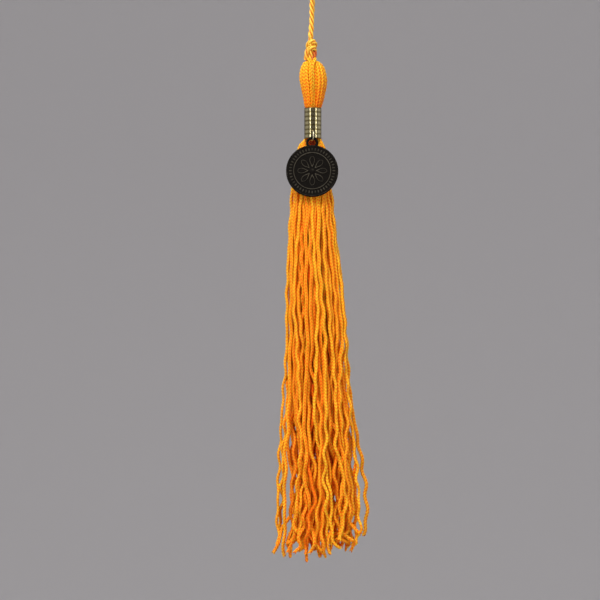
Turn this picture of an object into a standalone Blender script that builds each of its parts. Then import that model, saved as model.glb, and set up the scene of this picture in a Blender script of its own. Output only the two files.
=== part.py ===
"""A graduation tassel hanging from its loop, in metres with +Z up.

The origin is the point that the loop hangs from, and the front faces -Y. Places along the tassel are
given as a drop, the distance straight down from that point.
"""

import math

import bmesh
import bpy
import numpy as np
from mathutils import Vector

MM = 0.001
TINY = 1e-12
WELD = 1e-6

# Twisted cord of the hanging loop and its knot
CORD_DIAMETER = 2.2 * MM
CORD_PLIES = 3
CORD_PITCH = 9.5 * MM
CORD_GROOVE = 0.14
CORD_SIDES = 9
CURVE_STEPS = 24
LOOP_STEP = 1.15 * MM
# Points of the loop in millimetres: x, y, z. Up the front leg, over the top and down the back leg
LOOP_ROUTE = (
    (-0.9, -1.35, -45.5),
    (-0.6, -1.38, -41.5),
    (-0.5, -1.42, -37.0),
    (-0.5, -1.60, -31.0),
    (-0.4, -2.10, -25.0),
    (-0.3, -2.90, -19.0),
    (-0.2, -3.90, -13.0),
    (-0.1, -4.75, -8.0),
    (0.0, -5.00, -3.9),
    (0.0, -3.54, -0.4),
    (0.0, 0.00, 1.1),
    (0.0, 3.54, -0.4),
    (0.0, 5.00, -3.9),
    (0.1, 4.75, -8.0),
    (0.2, 3.90, -13.0),
    (0.2, 2.90, -19.0),
    (0.1, 2.10, -25.0),
    (-0.1, 1.60, -31.0),
    (-0.5, 1.42, -37.0),
    (-0.9, 1.38, -41.5),
    (-1.2, 1.35, -45.5),
)

# Knot above the head: two legs of the cord on a thicker core, with a third cord wrapped round them
KNOT_CENTRE_X = -1.05 * MM
KNOT_CORD_DIAMETER = 2.1 * MM
WRAP_CENTRE_X = 0.4 * MM
WRAP_RADIUS = 1.6 * MM
WRAP_TURNS = 1.45
WRAP_TOP = 46.7 * MM
WRAP_PITCH = 2.8 * MM
WRAP_ARCH = 1.2 * MM
# Points of each cord of the knot, in millimetres from the knot's axis: x, y, z
KNOT_ROUTES = {
    "core": ((0.0, 0.0, -46.4), (0.0, 0.0, -49.0), (0.0, 0.0, -52.5), (0.0, 0.0, -55.6)),
    "front_leg": ((0.1, -1.25, -45.8), (0.1, -1.05, -49.0), (0.0, -0.85, -52.5), (0.0, -0.80, -56.0)),
    "back_leg": ((-0.1, 1.25, -45.8), (0.0, 1.05, -49.0), (0.1, 0.85, -52.5), (0.1, 0.80, -56.0)),
    "tail": ((-0.9, -1.3, -50.4), (-1.6, -1.6, -52.0), (-2.0, -1.5, -54.0), (-1.9, -1.4, -55.9)),
    "lobe": ((0.9, 0.6, -49.8), (1.7, 0.1, -51.4), (1.8, -0.6, -53.4), (1.5, -0.9, -55.7)),
}
KNOT_CORE_WIDTH = 1.6
KNOT_SIDES = 9
KNOT_STEP = 1.1 * MM

# Yarn head, neck and the fused roots: millimetres of drop, half width, half depth, centre and ridge depth
RIDGES = 18
BUNDLE_COLUMNS = ("drop", "half_width", "half_depth", "centre_x", "ridge")
BUNDLE_SECTIONS = (
    (56.4, 2.2, 2.1, -0.6, 0.10),
    (56.8, 3.5, 3.3, -0.5, 0.20),
    (57.6, 4.5, 4.3, -0.3, 0.45),
    (59.3, 5.5, 5.2, -0.1, 0.60),
    (61.6, 6.1, 5.8, 0.0, 0.70),
    (64.4, 6.4, 6.0, 0.2, 0.70),
    (67.4, 6.1, 5.8, 0.4, 0.70),
    (70.4, 5.5, 5.3, 0.4, 0.65),
    (73.4, 4.9, 4.8, 0.4, 0.55),
    (75.8, 4.4, 4.4, 0.2, 0.40),
    (77.2, 4.0, 4.0, 0.1, 0.30),
    (78.2, 3.2, 3.2, 0.0, 0.15),
    (91.4, 3.2, 3.2, 0.0, 0.15),
    (93.0, 4.1, 3.4, -0.2, 0.25),
    (95.2, 5.2, 3.9, -0.4, 0.30),
    (97.0, 6.5, 4.3, -0.5, 0.30),
)

# Skirt: millimetres of drop, half width, half depth, centre and width of one strand
STRANDS = 80
STRAND_LEVELS = 16
ROOT_DROP = 96.4 * MM
LONGEST_DROP = 286.0 * MM
SHORTEST_DROP = 275.5 * MM
COMMON_DROP = 281.5 * MM
SKIRT_COLUMNS = ("drop", "half_width", "half_depth", "centre_x", "strand_width")
SKIRT_SECTIONS = (
    (96.4, 5.6, 3.75, -0.5, 0.64),
    (107.0, 7.9, 5.1, -0.5, 0.92),
    (119.0, 9.7, 6.4, -0.4, 1.16),
    (131.0, 10.4, 7.2, -0.3, 1.30),
    (151.0, 12.0, 8.2, 0.5, 1.50),
    (166.0, 13.0, 8.6, 1.0, 1.60),
    (188.0, 14.4, 9.2, 1.9, 1.65),
    (214.0, 15.4, 9.8, 2.4, 1.65),
    (229.0, 16.3, 10.3, 3.3, 1.65),
    (247.0, 16.8, 10.8, 4.3, 1.65),
    (258.0, 16.5, 11.0, 5.2, 1.65),
    (276.0, 17.0, 11.2, 4.0, 1.65),
    (286.0, 17.0, 11.2, 4.0, 1.50),
)
# Strands that leave the skirt's sides: millimetres of drop, then the x of each
STRAY_COLUMNS = ("drop", "left_outer", "left_middle", "left_inner", "right_inner", "right_outer")
STRAY_SECTIONS = (
    (196.0, -12.0, -10.9, -9.8, 14.6, 15.9),
    (214.0, -13.0, -11.8, -10.4, 15.8, 17.2),
    (229.0, -15.2, -13.9, -12.4, 18.8, 20.6),
    (247.0, -15.4, -14.1, -12.8, 20.6, 24.0),
    (258.0, -15.8, -14.5, -12.9, 21.0, 25.4),
    (268.0, -16.5, -15.0, -13.0, 21.4, 24.9),
    (280.0, -17.3, -15.9, -12.9, 21.5, 23.8),
)
STRAY_TIP_DROPS = (278.5, 275.5, 283.5, 280.5, 276.0)
STRAY_START = 170.0 * MM
LEFT_STRAYS = 3
RIGHT_STRAYS = 2
GOLDEN_ANGLE = math.pi * (3.0 - math.sqrt(5.0))

# How the strands hang: locks that gather and part again, waves and turned tips
LAYOUT_SEED = 11
LEVEL_STEP_AT_TOP = 1.25
LEVEL_STEP_AT_TIPS = 0.8
SHORTEST_LAST_STEP = 3.0 * MM
LOCKS = 13
LOCK_PULL = 0.28
LOCK_END = 0.9
SLOW_WAVE = (80.0 * MM, 130.0 * MM)
SLOW_WAVE_SIZE = 2.0 * MM
QUICK_WAVE = (28.0 * MM, 46.0 * MM)
QUICK_WAVE_SIZE = (0.1 * MM, 1.6 * MM)
TURNED_SHARE = 0.4
TURNED_TIP = (2.5 * MM, 5.5 * MM)
PLAIN_TIP = (0.0, 1.2 * MM)
TIP_LENGTH = 24.0 * MM
TIP_CURVE = 1.6
TIP_DEPTH = 0.7

# How they are pushed apart until no two touch
PUSH_ROUNDS = 300
SMOOTHED_ROUNDS = 180
SMOOTHING = 0.03
RETURN_SHARE = 0.03
PUSH_SHARE = 0.22
STRAND_SPACING = 1.14
STRAND_CLEARANCE = 0.12 * MM
FREE_BELOW = 0.95

# Ribbed ferrule
FERRULE_TOP = 77.9 * MM
FERRULE_HEIGHT = 13.9 * MM
FERRULE_RADIUS = 4.0 * MM
FERRULE_INNER_RADIUS = 3.5 * MM
FERRULE_RIBS = 7
FERRULE_GROOVE = 0.2 * MM
FERRULE_SEGMENTS = 28

# Jump ring through the ferrule's front wall
RING_CENTRE = Vector((-0.35, -4.9, -90.87)) * MM
RING_RADIUS = 2.33 * MM
RING_WIRE_DIAMETER = 0.5 * MM
RING_YAW = math.radians(15.0)
RING_CLEARANCE = 0.35 * MM

# Charm, hung on the jump ring and leaning on the skirt
CHARM_TILT = math.radians(7.0)
CHARM_RADIUS = 11.9 * MM
CHARM_BACK = -0.9 * MM
CHARM_DROP = 16.5 * MM
CHARM_SEGMENTS = 48
# Radius and height of the front face's steps, in millimetres
CHARM_PROFILE = (
    (0.0, 0.75),
    (1.3, 0.75),
    (1.6, 0.50),
    (3.2, 0.50),
    (5.2, 0.50),
    (6.8, 0.50),
    (7.9, 0.50),
    (8.1, 0.75),
    (8.7, 0.75),
    (8.9, 0.50),
    (10.9, 0.50),
    (11.1, 0.80),
    (11.7, 0.80),
    (11.9, 0.60),
)
CHARM_EDGE = 0.25 * MM
PETALS = 8
PETAL_INNER_RADIUS = 1.5 * MM
PETAL_OUTER_RADIUS = 6.9 * MM
PETAL_HEIGHT = 0.3 * MM
EYELET_RADIUS = 2.2 * MM
EYELET_THICKNESS = 1.2 * MM
EYELET_DROP = 3.38 * MM


def make_collection(name):
    collection = bpy.data.collections.new(name)
    bpy.context.scene.collection.children.link(collection)
    return collection


def clear_scene():
    for obj in list(bpy.data.objects):
        bpy.data.objects.remove(obj)


def make_material(name, colour, roughness, metallic):
    material = bpy.data.materials.new(name)
    material.use_nodes = True
    shader = material.node_tree.nodes["Principled BSDF"]
    shader.inputs["Base Color"].default_value = (*colour, 1.0)
    shader.inputs["Roughness"].default_value = roughness
    shader.inputs["Metallic"].default_value = metallic
    return material


def columns_of(names, rows):
    """The table's columns by name, in metres."""
    return dict(zip(names, np.array(rows).T * MM, strict=True))


def smooth_points(route, step):
    """Points about a step apart on a smooth curve through the route's own points."""
    ends = [2 * route[0] - route[1]] + list(route) + [2 * route[-1] - route[-2]]
    fine = []
    for before, start, end, after in zip(ends, ends[1:], ends[2:], ends[3:]):
        for t in np.linspace(0.0, 1.0, CURVE_STEPS, endpoint=False):
            fine.append(
                0.5
                * (
                    2 * start
                    + (end - before) * t
                    + (2 * before - 5 * start + 4 * end - after) * t * t
                    + (3 * start - 3 * end + after - before) * t**3
                )
            )
    fine = np.array(fine + [route[-1]])
    lengths = np.linalg.norm(np.diff(fine, axis=0), axis=1)
    along = np.concatenate([[0.0], np.cumsum(lengths)])
    places = np.linspace(0.0, along[-1], round(along[-1] / step) + 1)
    return np.stack([np.interp(places, along, fine[:, axis]) for axis in range(3)], axis=1)


def make_object(name, data, collection, material=None):
    obj = bpy.data.objects.new(name, data)
    collection.objects.link(obj)
    if material:
        data.materials.append(material)
    return obj


def make_profile(name, radii, collection):
    """A closed flat outline, as a guide that a curve is swept with."""
    curve = bpy.data.curves.new(name, "CURVE")
    curve.dimensions = "2D"
    spline = curve.splines.new("POLY")
    spline.points.add(len(radii) - 1)
    for number, (point, radius) in enumerate(zip(spline.points, radii, strict=True)):
        angle = 2 * math.pi * number / len(radii)
        point.co = (radius * math.cos(angle), radius * math.sin(angle), 0.0, 1.0)
    spline.use_cyclic_u = True
    guide = make_object(name, curve, collection)
    guide.hide_render = True
    return guide


def add_path(curve, points, widths=None, pitch=None):
    """One spline of a swept curve, with its width at each point and its twist."""
    spline = curve.splines.new("POLY")
    spline.points.add(len(points) - 1)
    along = 0.0
    for number, point in enumerate(spline.points):
        if number:
            along += float(np.linalg.norm(points[number] - points[number - 1]))
        point.co = (*points[number], 1.0)
        point.radius = widths[number] if widths is not None else 1.0
        point.tilt = 2 * math.pi * along / pitch if pitch else 0.0


def swept_curve(name, profile):
    curve = bpy.data.curves.new(name, "CURVE")
    curve.dimensions = "3D"
    curve.twist_mode = "MINIMUM"
    curve.bevel_mode = "OBJECT"
    curve.bevel_object = profile
    curve.use_fill_caps = True
    return curve


def mesh_from_curve(name, curve, collection, material=None):
    """The swept curve as a closed mesh, its caps welded to its sides."""
    source = make_object(name + "_path", curve, collection)
    graph = bpy.context.evaluated_depsgraph_get()
    mesh = bpy.data.meshes.new_from_object(source.evaluated_get(graph))
    bpy.data.objects.remove(source)
    shape = bmesh.new()
    shape.from_mesh(mesh)
    bmesh.ops.remove_doubles(shape, verts=shape.verts, dist=WELD)
    bmesh.ops.recalc_face_normals(shape, faces=shape.faces)
    shape.to_mesh(mesh)
    shape.free()
    mesh.materials.clear()
    return make_object(name, mesh, collection, material)


def make_cutter(obj):
    obj.hide_render = True
    obj.display_type = "WIRE"
    return obj


def add_boolean(obj, other, operation):
    modifier = obj.modifiers.new(operation.title() + " " + other.name, "BOOLEAN")
    modifier.operation = operation
    modifier.object = other


def loft(name, sections, collection, material=None):
    """A closed body through rings of points of the same count, from the first ring to the last."""
    shape = bmesh.new()
    rings = [[shape.verts.new(point) for point in section] for section in sections]
    sides = len(rings[0])
    for above, below in zip(rings, rings[1:]):
        for side in range(sides):
            after = (side + 1) % sides
            shape.faces.new((above[side], above[after], below[after], below[side]))
    shape.faces.new(rings[0])
    shape.faces.new(rings[-1])
    bmesh.ops.recalc_face_normals(shape, faces=shape.faces)
    mesh = bpy.data.meshes.new(name)
    shape.to_mesh(mesh)
    shape.free()
    return make_object(name, mesh, collection, material)


def turned(name, profile, segments, collection, material, closed):
    """A profile of (radius, height) points turned round the Z axis. It runs down its outer side."""
    shape = bmesh.new()
    points = [shape.verts.new((radius, 0.0, height)) for radius, height in profile]
    for start, end in zip(points, points[1:]):
        shape.edges.new((start, end))
    if closed:
        shape.edges.new((points[-1], points[0]))
    mesh = bpy.data.meshes.new(name)
    shape.to_mesh(mesh)
    shape.free()
    obj = make_object(name, mesh, collection, material)
    screw = obj.modifiers.new("Turn", "SCREW")
    screw.steps = segments
    screw.render_steps = segments
    screw.use_merge_vertices = True
    screw.merge_threshold = WELD
    return obj


def applied(obj):
    """Replaces the object's mesh with the one that its modifiers make."""
    graph = bpy.context.evaluated_depsgraph_get()
    mesh = bpy.data.meshes.new_from_object(obj.evaluated_get(graph))
    obj.modifiers.clear()
    obj.data = mesh
    return obj


def cord_profile(diameter):
    """Radii of a cord's section, raised at each ply and drawn in between the plies."""
    angles = np.arange(CORD_SIDES) * 2 * math.pi / CORD_SIDES
    return diameter / 2 * (1 - CORD_GROOVE + CORD_GROOVE * np.cos(CORD_PLIES * angles))


def make_hanging_loop(parts, guides, material):
    profile = make_profile("cord_section", cord_profile(CORD_DIAMETER), guides)
    points = smooth_points(np.array(LOOP_ROUTE) * MM, LOOP_STEP)
    curve = swept_curve("hanging_loop", profile)
    add_path(curve, points, pitch=CORD_PITCH)
    mesh_from_curve("hanging_loop", curve, parts, material)


def wrap_points():
    """A coil round the two legs of the knot, from the right side down, that arches up at the front."""
    turns = np.linspace(0.0, WRAP_TURNS, round(WRAP_TURNS * 2 * math.pi * WRAP_RADIUS / KNOT_STEP))
    angle = -2 * math.pi * turns
    drop = WRAP_TOP + WRAP_PITCH * turns + WRAP_ARCH * (1.0 + np.sin(angle))
    x = WRAP_CENTRE_X + WRAP_RADIUS * np.cos(angle)
    return np.stack([x, WRAP_RADIUS * np.sin(angle), -drop], axis=1)


def make_loop_knot(parts, guides, material):
    profile = make_profile("knot_cord_section", np.full(KNOT_SIDES, KNOT_CORD_DIAMETER / 2), guides)
    routes = {name: smooth_points(np.array(route) * MM, KNOT_STEP) for name, route in KNOT_ROUTES.items()}
    routes["wrap"] = wrap_points()
    cords = []
    for name, points in routes.items():
        curve = swept_curve("knot_" + name, profile)
        widths = np.full(len(points), KNOT_CORE_WIDTH if name == "core" else 1.0)
        add_path(curve, points + np.array((KNOT_CENTRE_X, 0.0, 0.0)), widths)
        cords.append(mesh_from_curve("knot_" + name, curve, guides))
    knot = make_object("loop_knot", cords[0].data, parts, material)
    for cord in cords:
        make_cutter(cord)
    for cord in cords[1:]:
        add_boolean(knot, cord, "UNION")


def bundle_sections():
    """Rings of the head, neck and fused roots, with a ridge for each strand that shows."""
    table = columns_of(BUNDLE_COLUMNS, BUNDLE_SECTIONS)
    sides = 2 * RIDGES
    angles = np.arange(sides) * 2 * math.pi / sides
    ridge_share = np.where(np.arange(sides) % 2 == 0, 0.0, 1.0)
    sections = []
    for row in range(len(BUNDLE_SECTIONS)):
        inset = table["ridge"][row] * ridge_share
        x = table["centre_x"][row] + (table["half_width"][row] - inset) * np.cos(angles)
        y = (table["half_depth"][row] - inset) * np.sin(angles)
        sections.append(np.stack([x, y, np.full(sides, -table["drop"][row])], axis=1))
    return sections


def golden_disc(count):
    """Points spread evenly over a disc of radius 1, from its middle out."""
    number = np.arange(count)
    reach = np.sqrt((number + 0.5) / count)
    return np.stack([reach * np.cos(number * GOLDEN_ANGLE), reach * np.sin(number * GOLDEN_ANGLE)], axis=1)


def strand_levels():
    """Drops of the levels that every strand is given a place at, closer together towards the tips."""
    steps = np.linspace(LEVEL_STEP_AT_TOP, LEVEL_STEP_AT_TIPS, STRAND_LEVELS - 1)
    shares = np.concatenate([[0.0], np.cumsum(steps)]) / steps.sum()
    return ROOT_DROP + (LONGEST_DROP - ROOT_DROP) * shares


def wave(random, lengths, size, drop):
    """Sideways places [level, strand, (x, y)] of a wave of each strand's own length, still at the root."""
    length = random.uniform(*lengths, (STRANDS, 2))
    phase = random.uniform(0.0, 2 * math.pi, (STRANDS, 2))
    return size * (np.sin(2 * math.pi * drop / length + phase) - np.sin(phase))


def wished_places(random, levels, skirt, tips, strays):
    """Where the strands would hang if they could pass through each other, as [level, strand, (x, y)]."""
    below = (levels - ROOT_DROP)[:, None, None]
    share = below / (LONGEST_DROP - ROOT_DROP)
    disc = golden_disc(STRANDS)
    locks = disc[random.choice(STRANDS, LOCKS, replace=False)]
    nearest = locks[np.argmin(np.linalg.norm(disc[:, None] - locks[None], axis=2), axis=1)]
    pull = LOCK_PULL * np.sin(math.pi * np.clip(share / LOCK_END, 0.0, 1.0))
    size = np.stack([skirt["half_width"], skirt["half_depth"]], axis=1)[:, None]
    wished = (disc + pull * (nearest - disc)) * size
    wished = wished + wave(random, SLOW_WAVE, SLOW_WAVE_SIZE * share, below)
    quick_size = QUICK_WAVE_SIZE[0] + (QUICK_WAVE_SIZE[1] - QUICK_WAVE_SIZE[0]) * share
    wished = wished + wave(random, QUICK_WAVE, quick_size, below)
    wished[:, :, 0] += skirt["centre_x"][:, None]

    turned = random.uniform(0.0, 1.0, STRANDS) < TURNED_SHARE
    reach = np.where(turned, random.uniform(*TURNED_TIP, STRANDS), random.uniform(*PLAIN_TIP, STRANDS))
    angle = random.uniform(0.0, 2 * math.pi, STRANDS)
    late = np.clip((levels[:, None] - tips + TIP_LENGTH) / TIP_LENGTH, 0.0, 1.0) ** TIP_CURVE
    wished[:, :, 0] += late * reach * np.cos(angle)
    wished[:, :, 1] += late * reach * np.sin(angle) * TIP_DEPTH

    table = columns_of(STRAY_COLUMNS, STRAY_SECTIONS)
    leaving = np.clip((levels - STRAY_START) / (table["drop"][0] - STRAY_START), 0.0, 1.0)
    for strand, name in zip(strays, STRAY_COLUMNS[1:], strict=True):
        side = np.interp(levels, table["drop"], table[name])
        wished[:, strand, 0] = (1 - leaving) * wished[:, strand, 0] + leaving * side
    return wished


def pushed_apart(wished, levels, skirt, strays):
    """The wished places, moved as little as keeps each strand clear of the others between any two levels."""
    share = (levels - ROOT_DROP) / (LONGEST_DROP - ROOT_DROP)
    held_in = np.ones(STRANDS)
    held_in[strays] = 0.0
    held_in = np.clip((FREE_BELOW - share) / FREE_BELOW, 0.0, 1.0)[:, None] * held_in
    width = skirt["strand_width"]
    middle = np.stack([skirt["centre_x"], np.zeros_like(width)], axis=1)[:, None]
    room = (np.stack([skirt["half_width"], skirt["half_depth"]], axis=1) - width[:, None] / 2)[:, None]
    needed = STRAND_SPACING * (width[:-1] + width[1:]) / 2 + STRAND_CLEARANCE
    place = wished.copy()
    for turn in range(PUSH_ROUNDS):
        if turn < SMOOTHED_ROUNDS:
            place[1:-1] += SMOOTHING * ((place[:-2] + place[2:]) / 2 - place[1:-1])
            place += RETURN_SHARE * (wished - place)
        start = place[:-1, :, None] - place[:-1, None]
        change = place[1:, :, None] - place[1:, None] - start
        change_squared = np.maximum((change**2).sum(3, keepdims=True), TINY)
        nearest = np.clip(-(start * change).sum(3, keepdims=True) / change_squared, 0.0, 1.0)
        between = start + nearest * change
        distance = np.maximum(np.linalg.norm(between, axis=3, keepdims=True), TINY)
        push = np.maximum(needed[:, None, None, None] - distance, 0.0) * between / distance
        push = push / ((1 - nearest) ** 2 + nearest**2)
        place[:-1] += PUSH_SHARE * (push * (1 - nearest)).sum(2)
        place[1:] += PUSH_SHARE * (push * nearest).sum(2)
        reach = np.linalg.norm((place - middle) / room, axis=2)
        inward = 1.0 - held_in * (1.0 - 1.0 / np.maximum(reach, 1.0))
        place = middle + (place - middle) * inward[:, :, None]
    return place


def strand_layout():
    """The levels' drops, the strands' places at them, the strands' width there and the drops of the tips."""
    random = np.random.default_rng(LAYOUT_SEED)
    levels = strand_levels()
    table = columns_of(SKIRT_COLUMNS, SKIRT_SECTIONS)
    skirt = {name: np.interp(levels, table["drop"], table[name]) for name in SKIRT_COLUMNS}
    from_left = np.argsort(golden_disc(STRANDS)[:, 0])
    strays = np.concatenate([from_left[:LEFT_STRAYS], from_left[-RIGHT_STRAYS:]])
    tips = random.triangular(SHORTEST_DROP, COMMON_DROP, LONGEST_DROP, STRANDS)
    tips[strays] = np.array(STRAY_TIP_DROPS) * MM
    wished = wished_places(random, levels, skirt, tips, strays)
    return levels, pushed_apart(wished, levels, skirt, strays), skirt["strand_width"], tips


def make_strands(guides):
    """Every strand of the skirt in one mesh, each a closed three-sided body of its own."""
    profile = make_profile("strand_section", np.full(3, 1.0 / math.sqrt(3.0)), guides)
    curve = swept_curve("strands", profile)
    levels, place, width, tips = strand_layout()
    for strand, tip in enumerate(tips):
        drops = np.append(levels[levels < tip - SHORTEST_LAST_STEP], tip)
        x = np.interp(drops, levels, place[:, strand, 0])
        y = np.interp(drops, levels, place[:, strand, 1])
        add_path(curve, np.stack([x, y, -drops], axis=1), np.interp(drops, levels, width))
    return make_cutter(mesh_from_curve("strands", curve, guides))


def make_ring_clearance(guides):
    """The space round the jump ring, cut from what the ring goes through."""
    bpy.ops.mesh.primitive_torus_add(
        major_radius=RING_RADIUS,
        minor_radius=RING_WIRE_DIAMETER / 2 + RING_CLEARANCE,
        major_segments=24,
        minor_segments=8,
    )
    return place_ring(take_active("ring_clearance", guides))


def place_ring(obj):
    """A ring made flat stands on edge, its plane near the fore and aft plane."""
    obj.rotation_euler = (math.pi / 2, 0.0, math.pi / 2 + RING_YAW)
    obj.location = RING_CENTRE
    return obj


def take_active(name, collection):
    obj = bpy.context.object
    obj.name = name
    for other in list(obj.users_collection):
        other.objects.unlink(obj)
    collection.objects.link(obj)
    return obj


def make_yarn(parts, guides, clearance, material):
    yarn = loft("yarn", bundle_sections(), parts, material)
    add_boolean(yarn, make_strands(guides), "UNION")
    add_boolean(yarn, clearance, "DIFFERENCE")


def make_ferrule(parts, clearance, material):
    pitch = FERRULE_HEIGHT / FERRULE_RIBS
    profile = []
    for rib in range(FERRULE_RIBS):
        top = -FERRULE_TOP - rib * pitch
        profile.append((FERRULE_RADIUS - FERRULE_GROOVE, top))
        profile.append((FERRULE_RADIUS, top - 0.3 * pitch))
        profile.append((FERRULE_RADIUS, top - 0.7 * pitch))
    bottom = -FERRULE_TOP - FERRULE_HEIGHT
    profile.append((FERRULE_RADIUS - FERRULE_GROOVE, bottom))
    profile.append((FERRULE_INNER_RADIUS, bottom))
    profile.append((FERRULE_INNER_RADIUS, -FERRULE_TOP))
    ferrule = turned("ferrule", profile, FERRULE_SEGMENTS, parts, material, closed=True)
    add_boolean(ferrule, clearance, "DIFFERENCE")


def make_jump_ring(parts, material):
    bpy.ops.mesh.primitive_torus_add(
        major_radius=RING_RADIUS,
        minor_radius=RING_WIRE_DIAMETER / 2,
        major_segments=24,
        minor_segments=6,
    )
    ring = place_ring(take_active("jump_ring", parts))
    ring.data.materials.append(material)


def make_charm(parts, guides, material):
    """A medallion with a rim, a ring and a plain rosette, and an eyelet that the jump ring goes through."""
    front = [(radius * MM, height * MM) for radius, height in CHARM_PROFILE]
    back = [
        (CHARM_RADIUS, CHARM_BACK + CHARM_EDGE),
        (CHARM_RADIUS - CHARM_EDGE, CHARM_BACK),
        (0.0, CHARM_BACK),
    ]
    charm = applied(turned("charm", front + back, CHARM_SEGMENTS, parts, material, closed=False))
    for vertex in charm.data.vertices:
        reach = math.hypot(vertex.co.x, vertex.co.y)
        share = (reach - PETAL_INNER_RADIUS) / (PETAL_OUTER_RADIUS - PETAL_INNER_RADIUS)
        if vertex.co.z > 0.0 and 0.0 < share < 1.0:
            angle = math.atan2(vertex.co.y, vertex.co.x)
            petal = math.sin(math.pi * share) * abs(math.cos(PETALS * angle / 2))
            vertex.co.z += PETAL_HEIGHT * petal
        vertex.co.y -= CHARM_DROP
    bpy.ops.mesh.primitive_torus_add(
        major_radius=EYELET_RADIUS,
        minor_radius=EYELET_THICKNESS / 2,
        major_segments=24,
        minor_segments=8,
    )
    eyelet = make_cutter(take_active("eyelet", guides))
    for vertex in eyelet.data.vertices:
        vertex.co.y -= EYELET_DROP
    for obj in (charm, eyelet):
        obj.rotation_euler = (math.pi / 2 - CHARM_TILT, 0.0, 0.0)
        obj.location = RING_CENTRE
    add_boolean(charm, eyelet, "UNION")


def build():
    clear_scene()
    parts = make_collection("graduation_tassel")
    guides = make_collection("guides_and_cutters")
    cord = make_material("twisted_rayon_cord", (0.86, 0.45, 0.04), 0.6, 0.0)
    yarn = make_material("rayon_yarn", (0.85, 0.33, 0.02), 0.7, 0.0)
    brass = make_material("nickel_plated_brass", (0.52, 0.49, 0.38), 0.3, 1.0)
    blackened = make_material("blackened_cast_metal", (0.02, 0.02, 0.018), 0.55, 0.4)
    make_hanging_loop(parts, guides, cord)
    make_loop_knot(parts, guides, cord)
    clearance = make_cutter(make_ring_clearance(guides))
    make_yarn(parts, guides, clearance, yarn)
    make_ferrule(parts, clearance, brass)
    make_jump_ring(parts, brass)
    make_charm(parts, guides, blackened)


build()
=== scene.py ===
"""A graduation tassel on its loop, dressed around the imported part. Metres, +Z up, the front faces -Y."""

import math

import bmesh
import bpy
import numpy as np
from mathutils import Matrix, Vector


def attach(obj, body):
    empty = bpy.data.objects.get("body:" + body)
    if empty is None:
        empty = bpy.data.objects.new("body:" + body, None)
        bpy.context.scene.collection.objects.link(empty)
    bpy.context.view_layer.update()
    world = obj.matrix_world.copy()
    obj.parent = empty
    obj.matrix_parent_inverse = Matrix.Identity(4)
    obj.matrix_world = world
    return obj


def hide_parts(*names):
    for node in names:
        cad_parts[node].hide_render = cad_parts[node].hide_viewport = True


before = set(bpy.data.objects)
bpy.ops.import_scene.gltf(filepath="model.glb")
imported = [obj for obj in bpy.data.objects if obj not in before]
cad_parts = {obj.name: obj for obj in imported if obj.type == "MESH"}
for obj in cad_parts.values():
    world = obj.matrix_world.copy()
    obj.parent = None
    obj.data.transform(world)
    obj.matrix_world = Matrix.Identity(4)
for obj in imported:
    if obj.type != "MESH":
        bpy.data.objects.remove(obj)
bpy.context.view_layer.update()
scene = bpy.context.scene
scene.view_settings.view_transform = "Standard"

# Camera: level, straight in front, on the middle of the photograph's square view of 276 mm.
# A long portrait lens, so that the strands at the sides are seen almost square on.
MM = 0.001
VIEW_SIZE = 276.0 * MM
VIEW_CENTRE = Vector((-5.9, 0.0, -166.0)) * MM
LENS = 90.0
SENSOR = 36.0


def add_object(name, data):
    """A new object in the scene, with the given camera, mesh or light."""
    obj = bpy.data.objects.new(name, data)
    scene.collection.objects.link(obj)
    return obj


camera = add_object("camera", bpy.data.cameras.new("camera"))
camera.data.lens = LENS
camera.data.sensor_width = SENSOR
camera.data.clip_start = 10.0 * MM
camera.location = VIEW_CENTRE - Vector((0.0, LENS * VIEW_SIZE / SENSOR, 0.0))
camera.rotation_euler = (math.pi / 2, 0.0, 0.0)
scene.camera = camera


# Hanging loop: three-ply twisted rayon cord, folded in half over a peg, both legs run down into the knot.
# A node tree lays up its plies, and those of the knot's cords after it.
def fill(node, inputs):
    """Links or sets the named inputs of a node."""
    for name, value in dict(inputs).items():
        if isinstance(value, bpy.types.NodeSocket):
            node.id_data.links.new(value, node.inputs[name])
        else:
            node.inputs[name].default_value = value


def add_node(tree, kind, inputs=(), **settings):
    """Adds a node with its settings, fills its inputs, and returns its outputs."""
    node = tree.nodes.new(kind)
    for name, value in settings.items():
        setattr(node, name, value)
    fill(node, inputs)
    return node.outputs


def start_tree(name, inputs):
    """A geometry tree with named inputs, and its input node's sockets by name."""
    tree = bpy.data.node_groups.new(name, "GeometryNodeTree")
    tree.interface.new_socket("Geometry", in_out="INPUT", socket_type="NodeSocketGeometry")
    for label, value in inputs.items():
        kind = "NodeSocketInt" if isinstance(value, int) else "NodeSocketFloat"
        tree.interface.new_socket(label, in_out="INPUT", socket_type=kind).default_value = value
    tree.interface.new_socket("Material", in_out="INPUT", socket_type="NodeSocketMaterial")
    tree.interface.new_socket("Geometry", in_out="OUTPUT", socket_type="NodeSocketGeometry")
    return tree, tree.nodes.new("NodeGroupInput").outputs


def end_tree(tree, geometry, material):
    """Realizes what the tree has made, shades it smooth and gives it its material."""
    whole = add_node(tree, "GeometryNodeRealizeInstances", {"Geometry": geometry})[0]
    smooth = add_node(tree, "GeometryNodeSetShadeSmooth", {"Geometry": whole})[0]
    painted = add_node(tree, "GeometryNodeSetMaterial", {"Geometry": smooth, "Material": material})[0]
    add_node(tree, "NodeGroupOutput", {"Geometry": painted})
    return tree


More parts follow.
